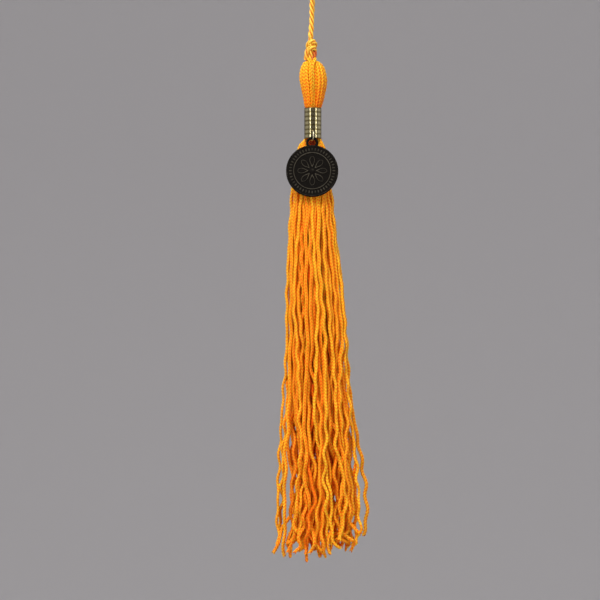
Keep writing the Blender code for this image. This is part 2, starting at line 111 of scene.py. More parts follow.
def make_twisted_cord_tree():
    """Sweeps round plies along each chain of edges, and turns them to the left once in each pitch."""
    measures = {"Ply Radius": 0.5 * MM, "Reach": 0.6 * MM, "Pitch": 9.5 * MM, "Step": 0.4 * MM}
    tree, given = start_tree("twisted_cord", {**measures, "Plies": 3, "Sides": 12})
    radius, reach = given["Ply Radius"], given["Reach"]
    line = add_node(tree, "GeometryNodeMeshToCurve", {"Mesh": given["Geometry"]})[0]
    spaced = {"Curve": line, "Length": given["Step"]}
    even = add_node(tree, "GeometryNodeResampleCurve", spaced, mode="LENGTH")[0]
    along = add_node(tree, "GeometryNodeSplineParameter")["Length"]
    turns = add_node(tree, "ShaderNodeMath", {0: along, 1: given["Pitch"]}, operation="DIVIDE")[0]
    tilt = add_node(tree, "ShaderNodeMath", {0: turns, 1: -math.tau}, operation="MULTIPLY")[0]
    twisted = add_node(tree, "GeometryNodeSetCurveTilt", {"Curve": even, "Tilt": tilt})[0]
    section = {"Resolution": given["Sides"], "Radius": radius}
    ply = add_node(tree, "GeometryNodeCurvePrimitiveCircle", section)[0]
    middles = add_node(tree, "GeometryNodeMeshCircle", {"Vertices": given["Plies"], "Radius": reach})[0]
    placed = add_node(tree, "GeometryNodeInstanceOnPoints", {"Points": middles, "Instance": ply})[0]
    plies = add_node(tree, "GeometryNodeRealizeInstances", {"Geometry": placed})[0]
    place = add_node(tree, "GeometryNodeInputPosition")[0]
    from_axis = add_node(tree, "ShaderNodeVectorMath", {0: place}, operation="LENGTH")["Value"]
    farthest = add_node(tree, "ShaderNodeMath", {0: reach, 1: radius}, operation="ADD")[0]
    out = add_node(tree, "ShaderNodeMath", {0: from_axis, 1: farthest}, operation="DIVIDE")[0]
    stored = {"Geometry": plies, "Name": "out", "Value": out}
    marked = add_node(tree, "GeometryNodeStoreNamedAttribute", stored)[0]
    sweep = {"Curve": twisted, "Profile Curve": marked, "Fill Caps": True}
    swept = add_node(tree, "GeometryNodeCurveToMesh", sweep)[0]
    return end_tree(tree, swept, given["Material"])


def mark_points(mesh, label, values):
    """Stores a value for each point of a mesh."""
    column = mesh.attributes.new(label, "FLOAT", "POINT")
    column.data.foreach_set("value", np.asarray(values, np.float32))


def chains(name, paths, **columns):
    """A mesh of bare edges, one chain for each path, with a column of values for its points."""
    points = np.concatenate(paths)
    starts = np.cumsum([0] + [len(path) for path in paths])
    edges = [(n, n + 1) for first, after in zip(starts, starts[1:]) for n in range(first, after - 1)]
    mesh = bpy.data.meshes.new(name)
    mesh.from_pydata(points.tolist(), edges, [])
    for label, values in columns.items():
        mark_points(mesh, label, np.concatenate(values))
    return mesh


def take_made_mesh(obj):
    """The plain mesh that an object's modifiers make, which are then removed."""
    graph = bpy.context.evaluated_depsgraph_get()
    made = bpy.data.meshes.new_from_object(obj.evaluated_get(graph))
    obj.modifiers.clear()
    return made


def grow(name, mesh, tree, material, **inputs):
    """The plain mesh object that a tree makes from a mesh."""
    source = add_object(name + "_source", mesh)
    modifier = source.modifiers.new("Grow", "NODES")
    modifier.node_group = tree
    sockets = {item.name: item.identifier for item in tree.interface.items_tree if item.in_out == "INPUT"}
    for label, value in inputs.items():
        modifier[sockets[label.replace("_", " ")]] = value
    modifier[sockets["Material"]] = material
    made = take_made_mesh(source)
    bpy.data.objects.remove(source)
    made.name = name
    return add_object(name, made)


def smooth_points(route, step, fine=24):
    """Points about a step apart on a smooth curve through the route's own points."""
    route = np.asarray(route, float)
    ends = [2 * route[0] - route[1], *route, 2 * route[-1] - route[-2]]
    t = np.linspace(0.0, 1.0, fine, endpoint=False)[:, None]
    spans = [
        (2 * b + (c - a) * t + (2 * a - 5 * b + 4 * c - d) * t**2 + (3 * b - 3 * c + d - a) * t**3) / 2
        for a, b, c, d in zip(ends, ends[1:], ends[2:], ends[3:])
    ]
    curve = np.concatenate([*spans, route[-1:]])
    along = np.concatenate([[0.0], np.cumsum(np.linalg.norm(np.diff(curve[:, :3], axis=0), axis=1))])
    places = np.linspace(0.0, along[-1], max(2, round(along[-1] / step) + 1))
    return np.stack([np.interp(places, along, column) for column in curve.T], axis=1)


def linear(hex_colour):
    """An sRGB hex colour as linear red, green, blue and alpha."""
    parts = [int(hex_colour[n : n + 2], 16) / 255 for n in (0, 2, 4)]
    return (*(p / 12.92 if p <= 0.04045 else ((p + 0.055) / 1.055) ** 2.4 for p in parts), 1.0)


def start_material(name, **settings):
    """A material, its node tree, and its Principled shader with the given settings."""
    material = bpy.data.materials.new(name)
    material.use_nodes = True
    shader = material.node_tree.nodes["Principled BSDF"]
    fill(shader, {label.replace("_", " "): value for label, value in settings.items()})
    return material, material.node_tree, shader


def tinted(tree, colour, **tints):
    """The colour times each tint, as far as the point value of the tint's name says: painted shade, with
    some random tone.
    """
    for label, tint in tints.items():
        share = add_node(tree, "ShaderNodeAttribute", attribute_name=label)["Fac"]
        mixed = {0: share, 6: colour, 7: linear(tint)}
        colour = add_node(tree, "ShaderNodeMix", mixed, data_type="RGBA", blend_type="MULTIPLY")[2]
    return colour


def make_twisted_rayon():
    """Rayon cord, bright filament twisted into plies: a silky yellow gleam, with painted shade of deep
    orange between the plies.
    """
    material, tree, shader = start_material(
        "twisted_rayon_cord",
        Roughness=0.42,
        Specular_IOR_Level=0.35,
        Sheen_Weight=0.05,
        Sheen_Tint=linear("FFE6A0"),
        Subsurface_Weight=0.2,
        Subsurface_Radius=(1.0, 0.4, 0.08),
        Subsurface_Scale=0.4 * MM,
    )
    # Filaments run along the cord whatever its twist, drawn about 0.3 mm apart so that they show
    place = add_node(tree, "ShaderNodeTexCoord")["Object"]
    along_cord = {0: place, 1: (1.0, 1.0, 0.15)}
    drawn_out = add_node(tree, "ShaderNodeVectorMath", along_cord, operation="MULTIPLY")[0]
    fibres = add_node(tree, "ShaderNodeTexNoise", {"Vector": drawn_out, "Scale": 3200.0, "Detail": 3.0})[0]
    tone = add_node(tree, "ShaderNodeMapRange", {0: fibres, 1: 0.3, 2: 0.7})[0]
    mixed = {0: tone, 6: linear("F7BC2C"), 7: linear("FFD852")}
    ply = add_node(tree, "ShaderNodeMix", mixed, data_type="RGBA")[2]
    # Painted shade: towards the cord's middle, where the plies press together, they are drawn deep orange
    out = add_node(tree, "ShaderNodeAttribute", attribute_name="out")["Fac"]
    open_side = add_node(tree, "ShaderNodeMapRange", {0: out, 1: 0.68, 2: 0.9})[0]
    mixed = {0: open_side, 6: linear("DC780E"), 7: ply}
    cord = add_node(tree, "ShaderNodeMix", mixed, data_type="RGBA")[2]
    bump = add_node(tree, "ShaderNodeBump", {"Strength": 0.5, "Distance": 0.06 * MM, "Height": fibres})[0]
    # Painted shade: the knot's points are drawn deeper orange as far as their shade value says
    fill(shader, {"Base Color": tinted(tree, cord, shade="C57819"), "Normal": bump})
    return material


CORD_DIAMETER = 2.2 * MM
CORD_PITCH = 9.5 * MM
LOOP_STEP = 0.8 * MM
# A ply's radius, and how far its middle is from the cord's, as shares of the cord's diameter
PLY_RADIUS = 0.236
PLY_REACH = 0.266
# Points of the loop in millimetres: x, y, z. Up the front leg, over the top and down the back leg
LOOP_ROUTE = (
    (-0.9, -1.35, -45.5),
    (-0.6, -1.38, -41.5),
    (-0.5, -1.42, -37.0),
    (-0.5, -1.60, -31.0),
    (-0.4, -2.10, -25.0),
    (-0.3, -2.90, -19.0),
    (-0.2, -3.90, -13.0),
    (-0.1, -4.75, -8.0),
    (0.0, -5.00, -3.9),
    (0.0, -3.54, -0.4),
    (0.0, 0.00, 1.1),
    (0.0, 3.54, -0.4),
    (0.0, 5.00, -3.9),
    (0.1, 4.75, -8.0),
    (0.2, 3.90, -13.0),
    (0.2, 2.90, -19.0),
    (0.1, 2.10, -25.0),
    (-0.1, 1.60, -31.0),
    (-0.5, 1.42, -37.0),
    (-0.9, 1.38, -41.5),
    (-1.2, 1.35, -45.5),
)
twisted_cord_tree = make_twisted_cord_tree()
twisted_rayon = make_twisted_rayon()
loop_path = smooth_points(np.array(LOOP_ROUTE) * MM, LOOP_STEP)
loop = grow(
    "hanging_loop_cord",
    chains("hanging_loop", [loop_path]),
    twisted_cord_tree,
    twisted_rayon,
    Ply_Radius=PLY_RADIUS * CORD_DIAMETER,
    Reach=PLY_REACH * CORD_DIAMETER,
    Pitch=CORD_PITCH,
)
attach(loop, "tassel")
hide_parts("hanging_loop")

# Loop knot: the same cord tied above the head. It is wrapped one and a half times round the loop's two
# legs, arched up at the front, and its cut tail at the left and a lobe at the right reach the head.
KNOT_CENTRE_X = -1.05
KNOT_CORD_DIAMETER = 2.25 * MM
KNOT_STEP = 0.6 * MM
# Pulled tight, the plies press into each other more than along the loop
KNOT_PLY_RADIUS = 0.262
KNOT_PLY_REACH = 0.238
# Points of the two legs, the tail and the lobe in millimetres from the knot's middle: x, y, z
KNOT_ROUTES = (
    ((0.1, -1.25, -45.2), (0.1, -1.05, -49.0), (0.0, -0.85, -52.5), (0.2, -0.80, -57.0)),
    ((-0.1, 1.25, -45.2), (0.0, 1.05, -49.0), (0.1, 0.85, -52.5), (0.1, 0.80, -57.0)),
    ((-0.9, -1.3, -50.4), (-1.6, -1.6, -52.0), (-2.0, -1.5, -54.0), (-1.9, -1.4, -55.9)),
    ((0.9, 0.6, -49.8), (1.7, 0.1, -51.4), (1.8, -0.6, -53.4), (1.5, -0.9, -55.7)),
)
# Painted shade on each route and on the wrap, as how deep its orange is: 0 on the open side and 1 in full
# shade
KNOT_SHADES = (0.2, 0.5, 0.3, 1.0, 0.0)
WRAP_CENTRE_X = 0.4
WRAP_RADIUS = 1.6
WRAP_TURNS = 1.45
WRAP_TOP = 46.7
WRAP_PITCH = 2.8
WRAP_ARCH = 1.2
WRAP_POINTS = 32
# The wrap rises at the right from behind its own lower turn
WRAP_LEAD = ((1.7, 1.2, -50.4), (2.05, 0.6, -49.2))

turns = np.linspace(0.0, WRAP_TURNS, WRAP_POINTS)
wrap_angle = -math.tau * turns
wrap = np.stack(
    [
        WRAP_CENTRE_X + WRAP_RADIUS * np.cos(wrap_angle),
        WRAP_RADIUS * np.sin(wrap_angle),
        -WRAP_TOP - WRAP_PITCH * turns - WRAP_ARCH * (1.0 + np.sin(wrap_angle)),
    ],
    axis=1,
)
knot_paths = [
    smooth_points((np.array(route) + (KNOT_CENTRE_X, 0.0, 0.0)) * MM, KNOT_STEP)
    for route in (*KNOT_ROUTES, [*WRAP_LEAD, *wrap])
]
knot_shades = [np.full(len(path), shade) for path, shade in zip(knot_paths, KNOT_SHADES)]
knot = grow(
    "loop_knot_cords",
    chains("loop_knot", knot_paths, shade=knot_shades),
    twisted_cord_tree,
    twisted_rayon,
    Ply_Radius=KNOT_PLY_RADIUS * KNOT_CORD_DIAMETER,
    Reach=KNOT_PLY_REACH * KNOT_CORD_DIAMETER,
    Pitch=CORD_PITCH,
)
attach(knot, "tassel")
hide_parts("loop_knot")


# Skirt: lengths of chain yarn, a narrow knitted rayon tube, cut off together at the bottom. They hang in
# locks that gather and part, wave more towards the tips, and a few leave the skirt at its sides.
STRANDS = 80
STRAND_LEVELS = 16
ROOT_DROP = 96.4 * MM
LONGEST_DROP = 286.0 * MM
SHORTEST_DROP = 275.5 * MM
COMMON_DROP = 281.5 * MM
SECTION_COLUMNS = ("drop", "half_width", "half_depth", "centre_x", "strand_width")
SKIRT_SECTIONS = (
    (96.4, 5.6, 3.75, -0.5, 0.64),
    (107.0, 7.9, 5.1, -0.5, 0.92),
    (119.0, 9.7, 6.4, -0.4, 1.16),
    (131.0, 10.4, 7.2, -0.3, 1.30),
    (151.0, 12.0, 8.2, 0.5, 1.50),
    (166.0, 13.0, 8.6, 1.0, 1.60),
    (188.0, 14.4, 9.2, 1.9, 1.65),
    (214.0, 15.4, 9.8, 2.4, 1.65),
    (229.0, 16.3, 10.3, 3.3, 1.65),
    (247.0, 16.8, 10.8, 4.3, 1.65),
    (258.0, 16.5, 11.0, 5.2, 1.65),
    (276.0, 17.0, 11.2, 4.0, 1.65),
    (286.0, 17.0, 11.2, 4.0, 1.50),
)
STRAY_COLUMNS = ("drop", "left_outer", "left_middle", "left_inner", "right_inner", "right_outer")
STRAY_SECTIONS = (
    (196.0, -12.0, -10.9, -9.8, 14.6, 15.9),
    (214.0, -13.0, -11.8, -10.4, 15.8, 17.2),
    (229.0, -15.2, -13.9, -12.4, 18.8, 20.6),
    (247.0, -15.4, -14.1, -12.8, 20.6, 24.0),
    (258.0, -15.8, -14.5, -12.9, 21.0, 25.4),
    (268.0, -16.5, -15.0, -13.0, 21.4, 24.9),
    (280.0, -17.3, -15.9, -12.9, 21.5, 23.8),
)
STRAY_TIP_DROPS = (278.5, 275.5, 283.5, 280.5, 276.0)
STRAY_START = 170.0 * MM
LEFT_STRAYS = 3
RIGHT_STRAYS = 2
GOLDEN_ANGLE = math.pi * (3.0 - math.sqrt(5.0))
LAYOUT_SEED = 11
LEVEL_STEP_AT_TOP = 1.25
LEVEL_STEP_AT_TIPS = 0.8
LOCKS = 13
LOCK_PULL = 0.28
LOCK_END = 0.9
SLOW_WAVE = (80.0 * MM, 130.0 * MM)
SLOW_WAVE_SIZE = 2.0 * MM
QUICK_WAVE = (28.0 * MM, 46.0 * MM)
QUICK_WAVE_SIZE = (0.1 * MM, 1.6 * MM)
TURNED_SHARE = 0.4
TURNED_TIP = (2.5 * MM, 5.5 * MM)
PLAIN_TIP = (0.0, 1.2 * MM)
TIP_LENGTH = 24.0 * MM
TIP_CURVE = 1.6
TIP_DEPTH = 0.7
PUSH_ROUNDS = 300
SMOOTHED_ROUNDS = 180
SMOOTHING = 0.03
RETURN_SHARE = 0.03
PUSH_SHARE = 0.22
STRAND_SPACING = 1.14
STRAND_CLEARANCE = 0.12 * MM
FREE_BELOW = 0.95
TINY = 1e-12


def clamp(value):
    """The value kept between 0 and 1."""
    return np.clip(value, 0.0, 1.0)


def columns_of(names, rows):
    """The table's columns by name, in metres."""
    return dict(zip(names, np.array(rows).T * MM, strict=True))


def golden_disc(count):
    """Points spread evenly over a disc of radius 1, from its middle out."""
    number = np.arange(count)
    reach = np.sqrt((number + 0.5) / count)
    return np.stack([reach * np.cos(number * GOLDEN_ANGLE), reach * np.sin(number * GOLDEN_ANGLE)], axis=1)


def strand_levels():
    """Drops of the levels that every strand is given a place at, closer together towards the tips."""
    steps = np.linspace(LEVEL_STEP_AT_TOP, LEVEL_STEP_AT_TIPS, STRAND_LEVELS - 1)
    shares = np.concatenate([[0.0], np.cumsum(steps)]) / steps.sum()
    return ROOT_DROP + (LONGEST_DROP - ROOT_DROP) * shares


def wave(random, lengths, size, drop):
    """Sideways places [level, strand, (x, y)] of a wave of each strand's own length, still at the root."""
    length = random.uniform(*lengths, (STRANDS, 2))
    phase = random.uniform(0.0, math.tau, (STRANDS, 2))
    return size * (np.sin(math.tau * drop / length + phase) - np.sin(phase))


def wished_places(random, levels, skirt, tips, strays):
    """Where the strands would hang if they could pass through each other, as [level, strand, (x, y)]."""
    below = (levels - ROOT_DROP)[:, None, None]
    share = below / (LONGEST_DROP - ROOT_DROP)
    disc = golden_disc(STRANDS)
    locks = disc[random.choice(STRANDS, LOCKS, replace=False)]
    nearest = locks[np.argmin(np.linalg.norm(disc[:, None] - locks[None], axis=2), axis=1)]
    pull = LOCK_PULL * np.sin(math.pi * clamp(share / LOCK_END))
    size = np.stack([skirt["half_width"], skirt["half_depth"]], axis=1)[:, None]
    wished = (disc + pull * (nearest - disc)) * size
    wished = wished + wave(random, SLOW_WAVE, SLOW_WAVE_SIZE * share, below)
    quick_size = QUICK_WAVE_SIZE[0] + (QUICK_WAVE_SIZE[1] - QUICK_WAVE_SIZE[0]) * share
    wished = wished + wave(random, QUICK_WAVE, quick_size, below)
    wished[:, :, 0] += skirt["centre_x"][:, None]

    turned = random.uniform(0.0, 1.0, STRANDS) < TURNED_SHARE
    reach = np.where(turned, random.uniform(*TURNED_TIP, STRANDS), random.uniform(*PLAIN_TIP, STRANDS))
    angle = random.uniform(0.0, math.tau, STRANDS)
    late = clamp((levels[:, None] - tips + TIP_LENGTH) / TIP_LENGTH) ** TIP_CURVE
    wished[:, :, 0] += late * reach * np.cos(angle)
    wished[:, :, 1] += late * reach * np.sin(angle) * TIP_DEPTH

    table = columns_of(STRAY_COLUMNS, STRAY_SECTIONS)
    leaving = clamp((levels - STRAY_START) / (table["drop"][0] - STRAY_START))
    for strand, name in zip(strays, STRAY_COLUMNS[1:], strict=True):
        side = np.interp(levels, table["drop"], table[name])
        wished[:, strand, 0] = (1 - leaving) * wished[:, strand, 0] + leaving * side
    return wished


def pushed_apart(wished, levels, skirt, strays):
    """The wished places, moved as little as keeps each strand clear of the others all the way down."""
    share = (levels - ROOT_DROP) / (LONGEST_DROP - ROOT_DROP)
    held_in = np.ones(STRANDS)
    held_in[strays] = 0.0
    held_in = clamp((FREE_BELOW - share) / FREE_BELOW)[:, None] * held_in
    width = skirt["strand_width"]
    middle = np.stack([skirt["centre_x"], np.zeros_like(width)], axis=1)[:, None]
    room = (np.stack([skirt["half_width"], skirt["half_depth"]], axis=1) - width[:, None] / 2)[:, None]
    needed = STRAND_SPACING * (width[:-1] + width[1:]) / 2 + STRAND_CLEARANCE
    place = wished.copy()
    for turn in range(PUSH_ROUNDS):
        if turn < SMOOTHED_ROUNDS:
            place[1:-1] += SMOOTHING * ((place[:-2] + place[2:]) / 2 - place[1:-1])
            place += RETURN_SHARE * (wished - place)
        start = place[:-1, :, None] - place[:-1, None]
        change = place[1:, :, None] - place[1:, None] - start
        change_squared = np.maximum((change**2).sum(3, keepdims=True), TINY)
        nearest = clamp(-(start * change).sum(3, keepdims=True) / change_squared)
        between = start + nearest * change
        distance = np.maximum(np.linalg.norm(between, axis=3, keepdims=True), TINY)
        push = np.maximum(needed[:, None, None, None] - distance, 0.0) * between / distance
        push = push / ((1 - nearest) ** 2 + nearest**2)
        place[:-1] += PUSH_SHARE * (push * (1 - nearest)).sum(2)
        place[1:] += PUSH_SHARE * (push * nearest).sum(2)
        reach = np.linalg.norm((place - middle) / room, axis=2)
        inward = 1.0 - held_in * (1.0 - 1.0 / np.maximum(reach, 1.0))
        place = middle + (place - middle) * inward[:, :, None]
    return place


def strand_layout():
    """The levels' drops, the strands' places at them and the drops of the tips, as in the part."""
    random = np.random.default_rng(LAYOUT_SEED)
    levels = strand_levels()
    table = columns_of(SECTION_COLUMNS, SKIRT_SECTIONS)
    skirt = {name: np.interp(levels, table["drop"], table[name]) for name in SECTION_COLUMNS}
    from_left = np.argsort(golden_disc(STRANDS)[:, 0])
    strays = np.concatenate([from_left[:LEFT_STRAYS], from_left[-RIGHT_STRAYS:]])
    tips = random.triangular(SHORTEST_DROP, COMMON_DROP, LONGEST_DROP, STRANDS)
    tips[strays] = np.array(STRAY_TIP_DROPS) * MM
    wished = wished_places(random, levels, skirt, tips, strays)
    return levels, pushed_apart(wished, levels, skirt, strays), tips


def make_chain_yarn_tree():
    """Knits a tube along each chain of edges: two columns of slanting stitches that meet in a V."""
    tree, given = start_tree("chain_yarn", {"Stitch": 1.5 * MM, "Drawn In": 0.26, "Slant": 0.4, "Sides": 8})
    stitch = given["Stitch"]
    line = add_node(tree, "GeometryNodeMeshToCurve", {"Mesh": given["Geometry"]})[0]
    half = add_node(tree, "ShaderNodeMath", {0: stitch, 1: 0.5}, operation="MULTIPLY")[0]
    even = add_node(tree, "GeometryNodeResampleCurve", {"Curve": line, "Length": half}, mode="LENGTH")[0]
    turn = add_node(tree, "GeometryNodeInputNamedAttribute", {"Name": "turn"})[0]
    kept = add_node(tree, "GeometryNodeSetCurveTilt", {"Curve": even, "Tilt": turn})[0]
    spline = add_node(tree, "GeometryNodeSplineParameter")
    between = add_node(tree, "ShaderNodeMath", {0: spline["Index"], 1: 2.0}, operation="MODULO")[0]
    way = add_node(tree, "GeometryNodeInputTangent")[0]
    for name, value, kind in (
        ("along", spline["Length"], "FLOAT"),
        ("between", between, "FLOAT"),
        ("way", way, "FLOAT_VECTOR"),
    ):
        stored = {"Geometry": kept, "Name": name, "Value": value}
        kept = add_node(tree, "GeometryNodeStoreNamedAttribute", stored, data_type=kind)[0]
    taken_in = add_node(tree, "ShaderNodeMath", {0: between, 1: given["Drawn In"]}, operation="MULTIPLY")[0]
    share = add_node(tree, "ShaderNodeMath", {0: 1.0, 1: taken_in}, operation="SUBTRACT")[0]
    width = add_node(tree, "GeometryNodeInputNamedAttribute", {"Name": "width"})[0]
    size = add_node(tree, "ShaderNodeMath", {0: width, 1: share}, operation="MULTIPLY")[0]

    # Section of a tube 1 wide: 0.5 from its middle to its sides, 0.56 to each column, 0.36 where they meet
    tube = {"Resolution": given["Sides"], "Radius": 1.0}
    circle = add_node(tree, "GeometryNodeCurvePrimitiveCircle", tube)[0]
    factor = add_node(tree, "GeometryNodeSplineParameter")["Factor"]
    once = add_node(tree, "ShaderNodeMath", {0: factor, 1: 4 * math.pi}, operation="MULTIPLY")[0]
    sides = add_node(tree, "ShaderNodeMath", {0: once}, operation="COSINE")[0]
    twice = add_node(tree, "ShaderNodeMath", {0: once, 1: 2.0}, operation="MULTIPLY")[0]
    columns = add_node(tree, "ShaderNodeMath", {0: twice}, operation="COSINE")[0]
    lobes = add_node(tree, "ShaderNodeMath", {0: columns, 1: -0.065, 2: 0.495}, operation="MULTIPLY_ADD")[0]
    lobes = add_node(tree, "ShaderNodeMath", {0: sides, 1: 0.07, 2: lobes}, operation="MULTIPLY_ADD")[0]
    place = add_node(tree, "GeometryNodeInputPosition")[0]
    section = add_node(tree, "ShaderNodeVectorMath", {0: place, "Scale": lobes}, operation="SCALE")[0]
    inward = add_node(tree, "ShaderNodeMath", {0: factor, 1: 0.25}, operation="PINGPONG")[0]
    stored = {"Geometry": circle, "Name": "inward", "Value": inward}
    marked = add_node(tree, "GeometryNodeStoreNamedAttribute", stored)[0]
    profile = add_node(tree, "GeometryNodeSetPosition", {"Geometry": marked, "Position": section})[0]
    sweep = {"Curve": kept, "Profile Curve": profile, "Scale": size, "Fill Caps": True}
    swept = add_node(tree, "GeometryNodeCurveToMesh", sweep)[0]

    # Each ring is drawn into a V, ahead at the tube's sides and back where the columns meet
    inward = add_node(tree, "GeometryNodeInputNamedAttribute", {"Name": "inward"})[0]
    ahead = add_node(tree, "ShaderNodeMath", {0: inward, 1: -8.0, 2: 1.0}, operation="MULTIPLY_ADD")[0]
    slant = add_node(tree, "ShaderNodeMath", {0: given["Slant"], 1: stitch}, operation="MULTIPLY")[0]
    push = add_node(tree, "ShaderNodeMath", {0: ahead, 1: slant}, operation="MULTIPLY")[0]
    way = add_node(tree, "GeometryNodeInputNamedAttribute", {"Name": "way"}, data_type="FLOAT_VECTOR")[0]
    offset = add_node(tree, "ShaderNodeVectorMath", {0: way, "Scale": push}, operation="SCALE")[0]
    knitted = add_node(tree, "GeometryNodeSetPosition", {"Geometry": swept, "Offset": offset})[0]
    clean = add_node(tree, "GeometryNodeRemoveAttribute", {"Geometry": knitted, "Name": "way"})[0]
    return end_tree(tree, clean, given["Material"])


def make_chain_rayon():
    """Rayon chain yarn, knitted: golden stitches, painted orange shade between them and where the points'
    shade values say, and light glowing through.
    """
    material, tree, shader = start_material(
        "rayon_chain_yarn",
        Roughness=0.5,
        Specular_IOR_Level=0.12,
        Sheen_Weight=0.03,
        Sheen_Roughness=0.4,
        Sheen_Tint=linear("FFE39A"),
        Subsurface_Weight=0.5,
        Subsurface_Radius=(1.0, 0.32, 0.1),
        Subsurface_Scale=0.8 * MM,
    )
    along, inward, between = (
        add_node(tree, "ShaderNodeAttribute", attribute_name=label)["Fac"]
        for label in ("along", "inward", "between")
    )
    # Painted shade: the yarn is drawn darker orange in the lines between stitches and in the groove where
    # the two columns meet
    seam = add_node(tree, "ShaderNodeMapRange", {0: inward, 1: 0.13, 2: 0.25, 4: 0.4})[0]
    line = add_node(tree, "ShaderNodeMath", {0: between, 1: 2.0}, operation="POWER")[0]
    crease_shade = add_node(tree, "ShaderNodeMath", {0: line, 1: 0.95, 2: seam}, operation="MULTIPLY_ADD")[0]
    mixed = {0: crease_shade, 6: linear("FFCE2E"), 7: linear("F06A00")}
    stitches = add_node(tree, "ShaderNodeMix", mixed, data_type="RGBA")[2]
    # Painted shade and painted shadow: the colour is multiplied towards deep orange by the shade value and
    # towards dark brown by the shadow value
    colour = tinted(tree, stitches, shade="F49E3E", gloom="6E3812")
    # Filaments run with the stitches, four to each, 0.37 mm apart so that they show
    runs = add_node(tree, "ShaderNodeMath", {0: along, 1: STITCH}, operation="DIVIDE")[0]
    rows = add_node(tree, "ShaderNodeMath", {0: inward, 1: 3.2, 2: runs}, operation="MULTIPLY_ADD")[0]
    angle = add_node(tree, "ShaderNodeMath", {0: rows, 1: 8 * math.pi}, operation="MULTIPLY")[0]
    ridge = add_node(tree, "ShaderNodeMath", {0: angle}, operation="SINE")[0]
    bump = add_node(tree, "ShaderNodeBump", {"Strength": 0.4, "Distance": 0.05 * MM, "Height": ridge})[0]
    fill(shader, {"Base Color": colour, "Normal": bump})
    return material


LOOKS_SEED = 23
STITCH = 1.5 * MM
NECK_DROP = 88.0 * MM
NECK_RADIUS = 2.6 * MM
MOUTH_DROP = 92.2 * MM
MOUTH_RADIUS = 3.0 * MM
# A length's width in millimetres at each of these drops
WIDTH_DROPS = (88.0, 92.0, 96.4, 107.0, 131.0, 200.0, 290.0)
WIDTHS = (1.0, 1.2, 1.45, 1.7, 1.88, 1.8, 1.62)
WIDTH_CHANCE = (0.93, 1.05)
# How far a length turns about itself from root to tip, in radians to either hand
TWIST = 3.0
PATH_STEP = 2.0 * MM
TIP_ROOM = 3.0 * MM
# Behind the charm's eyelet the lengths are parted, to both sides and back, and drawn dark there as a
# painted shadow
PARTING = Vector((-0.35, 0.0, -94.0)) * MM
PARTING_HEIGHT = 3.6 * MM
PARTING_WIDTH = 2.5 * MM
PARTED = 2.2 * MM
PARTED_BACK = 4.2 * MM
PARTING_SOFT = 0.4 * MM
PAINTED_SHADOW_END = 2.5 * MM
CRIMP = (9.0 * MM, 22.0 * MM)
CRIMP_SIZE = (0.16 * MM, 0.55 * MM)
CRIMP_CHANCE = (0.4, 1.4)
CRIMP_START = 12.0 * MM
CURLED_SHARE = 0.6
CURL_LENGTH = (9.0 * MM, 17.0 * MM)
CURL = (1.5 * MM, 6.5 * MM)
CURL_DEPTH = 0.6
CURL_RISE = 0.7
# Painted shade: a length is drawn darker orange the deeper it lies in the skirt, less so at its tip, and
# some more by chance as a random tone
DEEP_SHADE = 1.5
DEEP_FADE = 0.5
CHANCE_SHADE = 0.5
SKIRT_LAYERS = 4

levels, places, tips = strand_layout()
looks = np.random.default_rng(LOOKS_SEED)
width_drops, widths = np.array((WIDTH_DROPS, WIDTHS)) * MM
root_centre = SKIRT_SECTIONS[0][3] * MM
root_size = np.array(SKIRT_SECTIONS[0][1:3]) * MM
lengths = {"path": [], "width": [], "turn": [], "shade": [], "gloom": []}
for strand, tip in enumerate(tips):
    place = places[:, strand]
    inner = (place[0] - (root_centre, 0.0)) / root_size
    whole = levels < tip - TIP_ROOM
    rows = [(*(inner * NECK_RADIUS), -NECK_DROP), (*(inner * MOUTH_RADIUS), -MOUTH_DROP)]
    rows += [(x, y, -drop) for (x, y), drop in zip(place[whole], levels[whole])]
    rows.append((*(np.interp(tip, levels, place[:, axis]) for axis in (0, 1)), -tip))
    path = smooth_points(rows, PATH_STEP)
    drop = -path[:, 2]
    share = clamp((drop - ROOT_DROP) / (tip - ROOT_DROP))
    aside = path[:, 0] - PARTING.x
    near = np.exp(-(((drop + PARTING.z) / PARTING_HEIGHT) ** 2) - (aside / PARTING_WIDTH) ** 2)
    # Painted shadow of the eyelet on the parted lengths, fading out for those that lie towards the back
    lengths["gloom"].append(near**2 * clamp((PAINTED_SHADOW_END - path[:, 1]) / MM))
    near = near * clamp(-path[:, 1] / MM)
    path[:, 0] += PARTED * near * aside / np.hypot(aside, PARTING_SOFT)
    path[:, 1] += PARTED_BACK * near
    size = CRIMP_SIZE[0] + (CRIMP_SIZE[1] - CRIMP_SIZE[0]) * share**2 * looks.uniform(*CRIMP_CHANCE)
    size = size * clamp((drop - ROOT_DROP) / CRIMP_START)
    for axis in (0, 1, 0, 1):
        wave_length, phase = looks.uniform(*CRIMP), looks.uniform(0.0, math.tau)
        path[:, axis] += size * np.sin(math.tau * drop / wave_length + phase)
    reach = looks.uniform(*CURL) if looks.uniform() < CURLED_SHARE else 0.0
    direction = looks.uniform(0.0, math.tau)
    length = looks.uniform(*CURL_LENGTH)
    late = clamp((drop - tip + length) / length) ** 2
    path[:, 0] += late * reach * math.cos(direction)
    path[:, 1] += late * reach * math.sin(direction) * CURL_DEPTH
    path[:, 2] += late * reach * CURL_RISE
    lengths["path"].append(path)
    lengths["width"].append(np.interp(drop, width_drops, widths) * looks.uniform(*WIDTH_CHANCE))
    lengths["turn"].append(looks.uniform(0.0, math.pi) + looks.uniform(-TWIST, TWIST) * share)
    # Painted shade by depth in the skirt, plus a random tone
    deep = max(0.0, 1.0 - float(np.linalg.norm(inner)))
    shade = DEEP_SHADE * deep * (1.0 - DEEP_FADE * share)
    lengths["shade"].append(shade + looks.uniform(0.0, CHANCE_SHADE))
chain_rayon = make_chain_rayon()
chain_yarn_tree = make_chain_yarn_tree()
